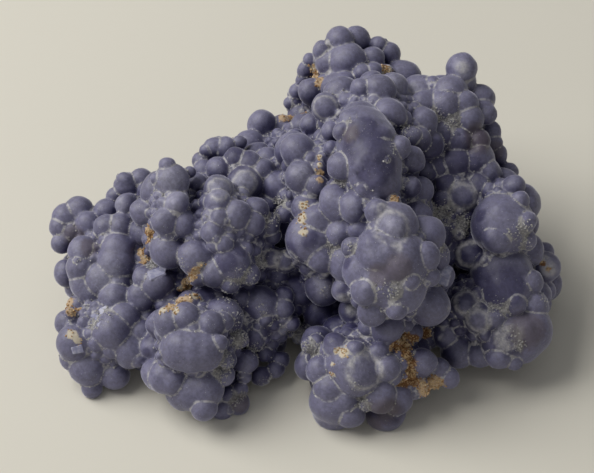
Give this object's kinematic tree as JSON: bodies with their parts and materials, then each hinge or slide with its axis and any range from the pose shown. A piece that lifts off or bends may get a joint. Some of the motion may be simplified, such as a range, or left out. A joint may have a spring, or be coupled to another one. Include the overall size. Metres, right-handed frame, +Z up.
{
  "type": "botryoidal fluorite specimen",
  "caption": "Free-standing mineral specimen: a grown-together violet mass of round, grape-like crystal globules on flat-ended lumps.",
  "frame": {"origin": "under the middle of the bounding box, on the surface that the specimen rests on", "axes": "+X along the longest extent, to the right in the pictured view; +Y away from that view; +Z up"},
  "size_m": [0.1048, 0.0805, 0.0471],
  "materials": {
    "violet_fluorite": "frosted, waxy, slightly translucent, with pale dusty rims and tan broken patches"
  },
  "bodies": {
    "root": {"botryoidal_mass": "violet_fluorite"}
  },
  "joints": []
}
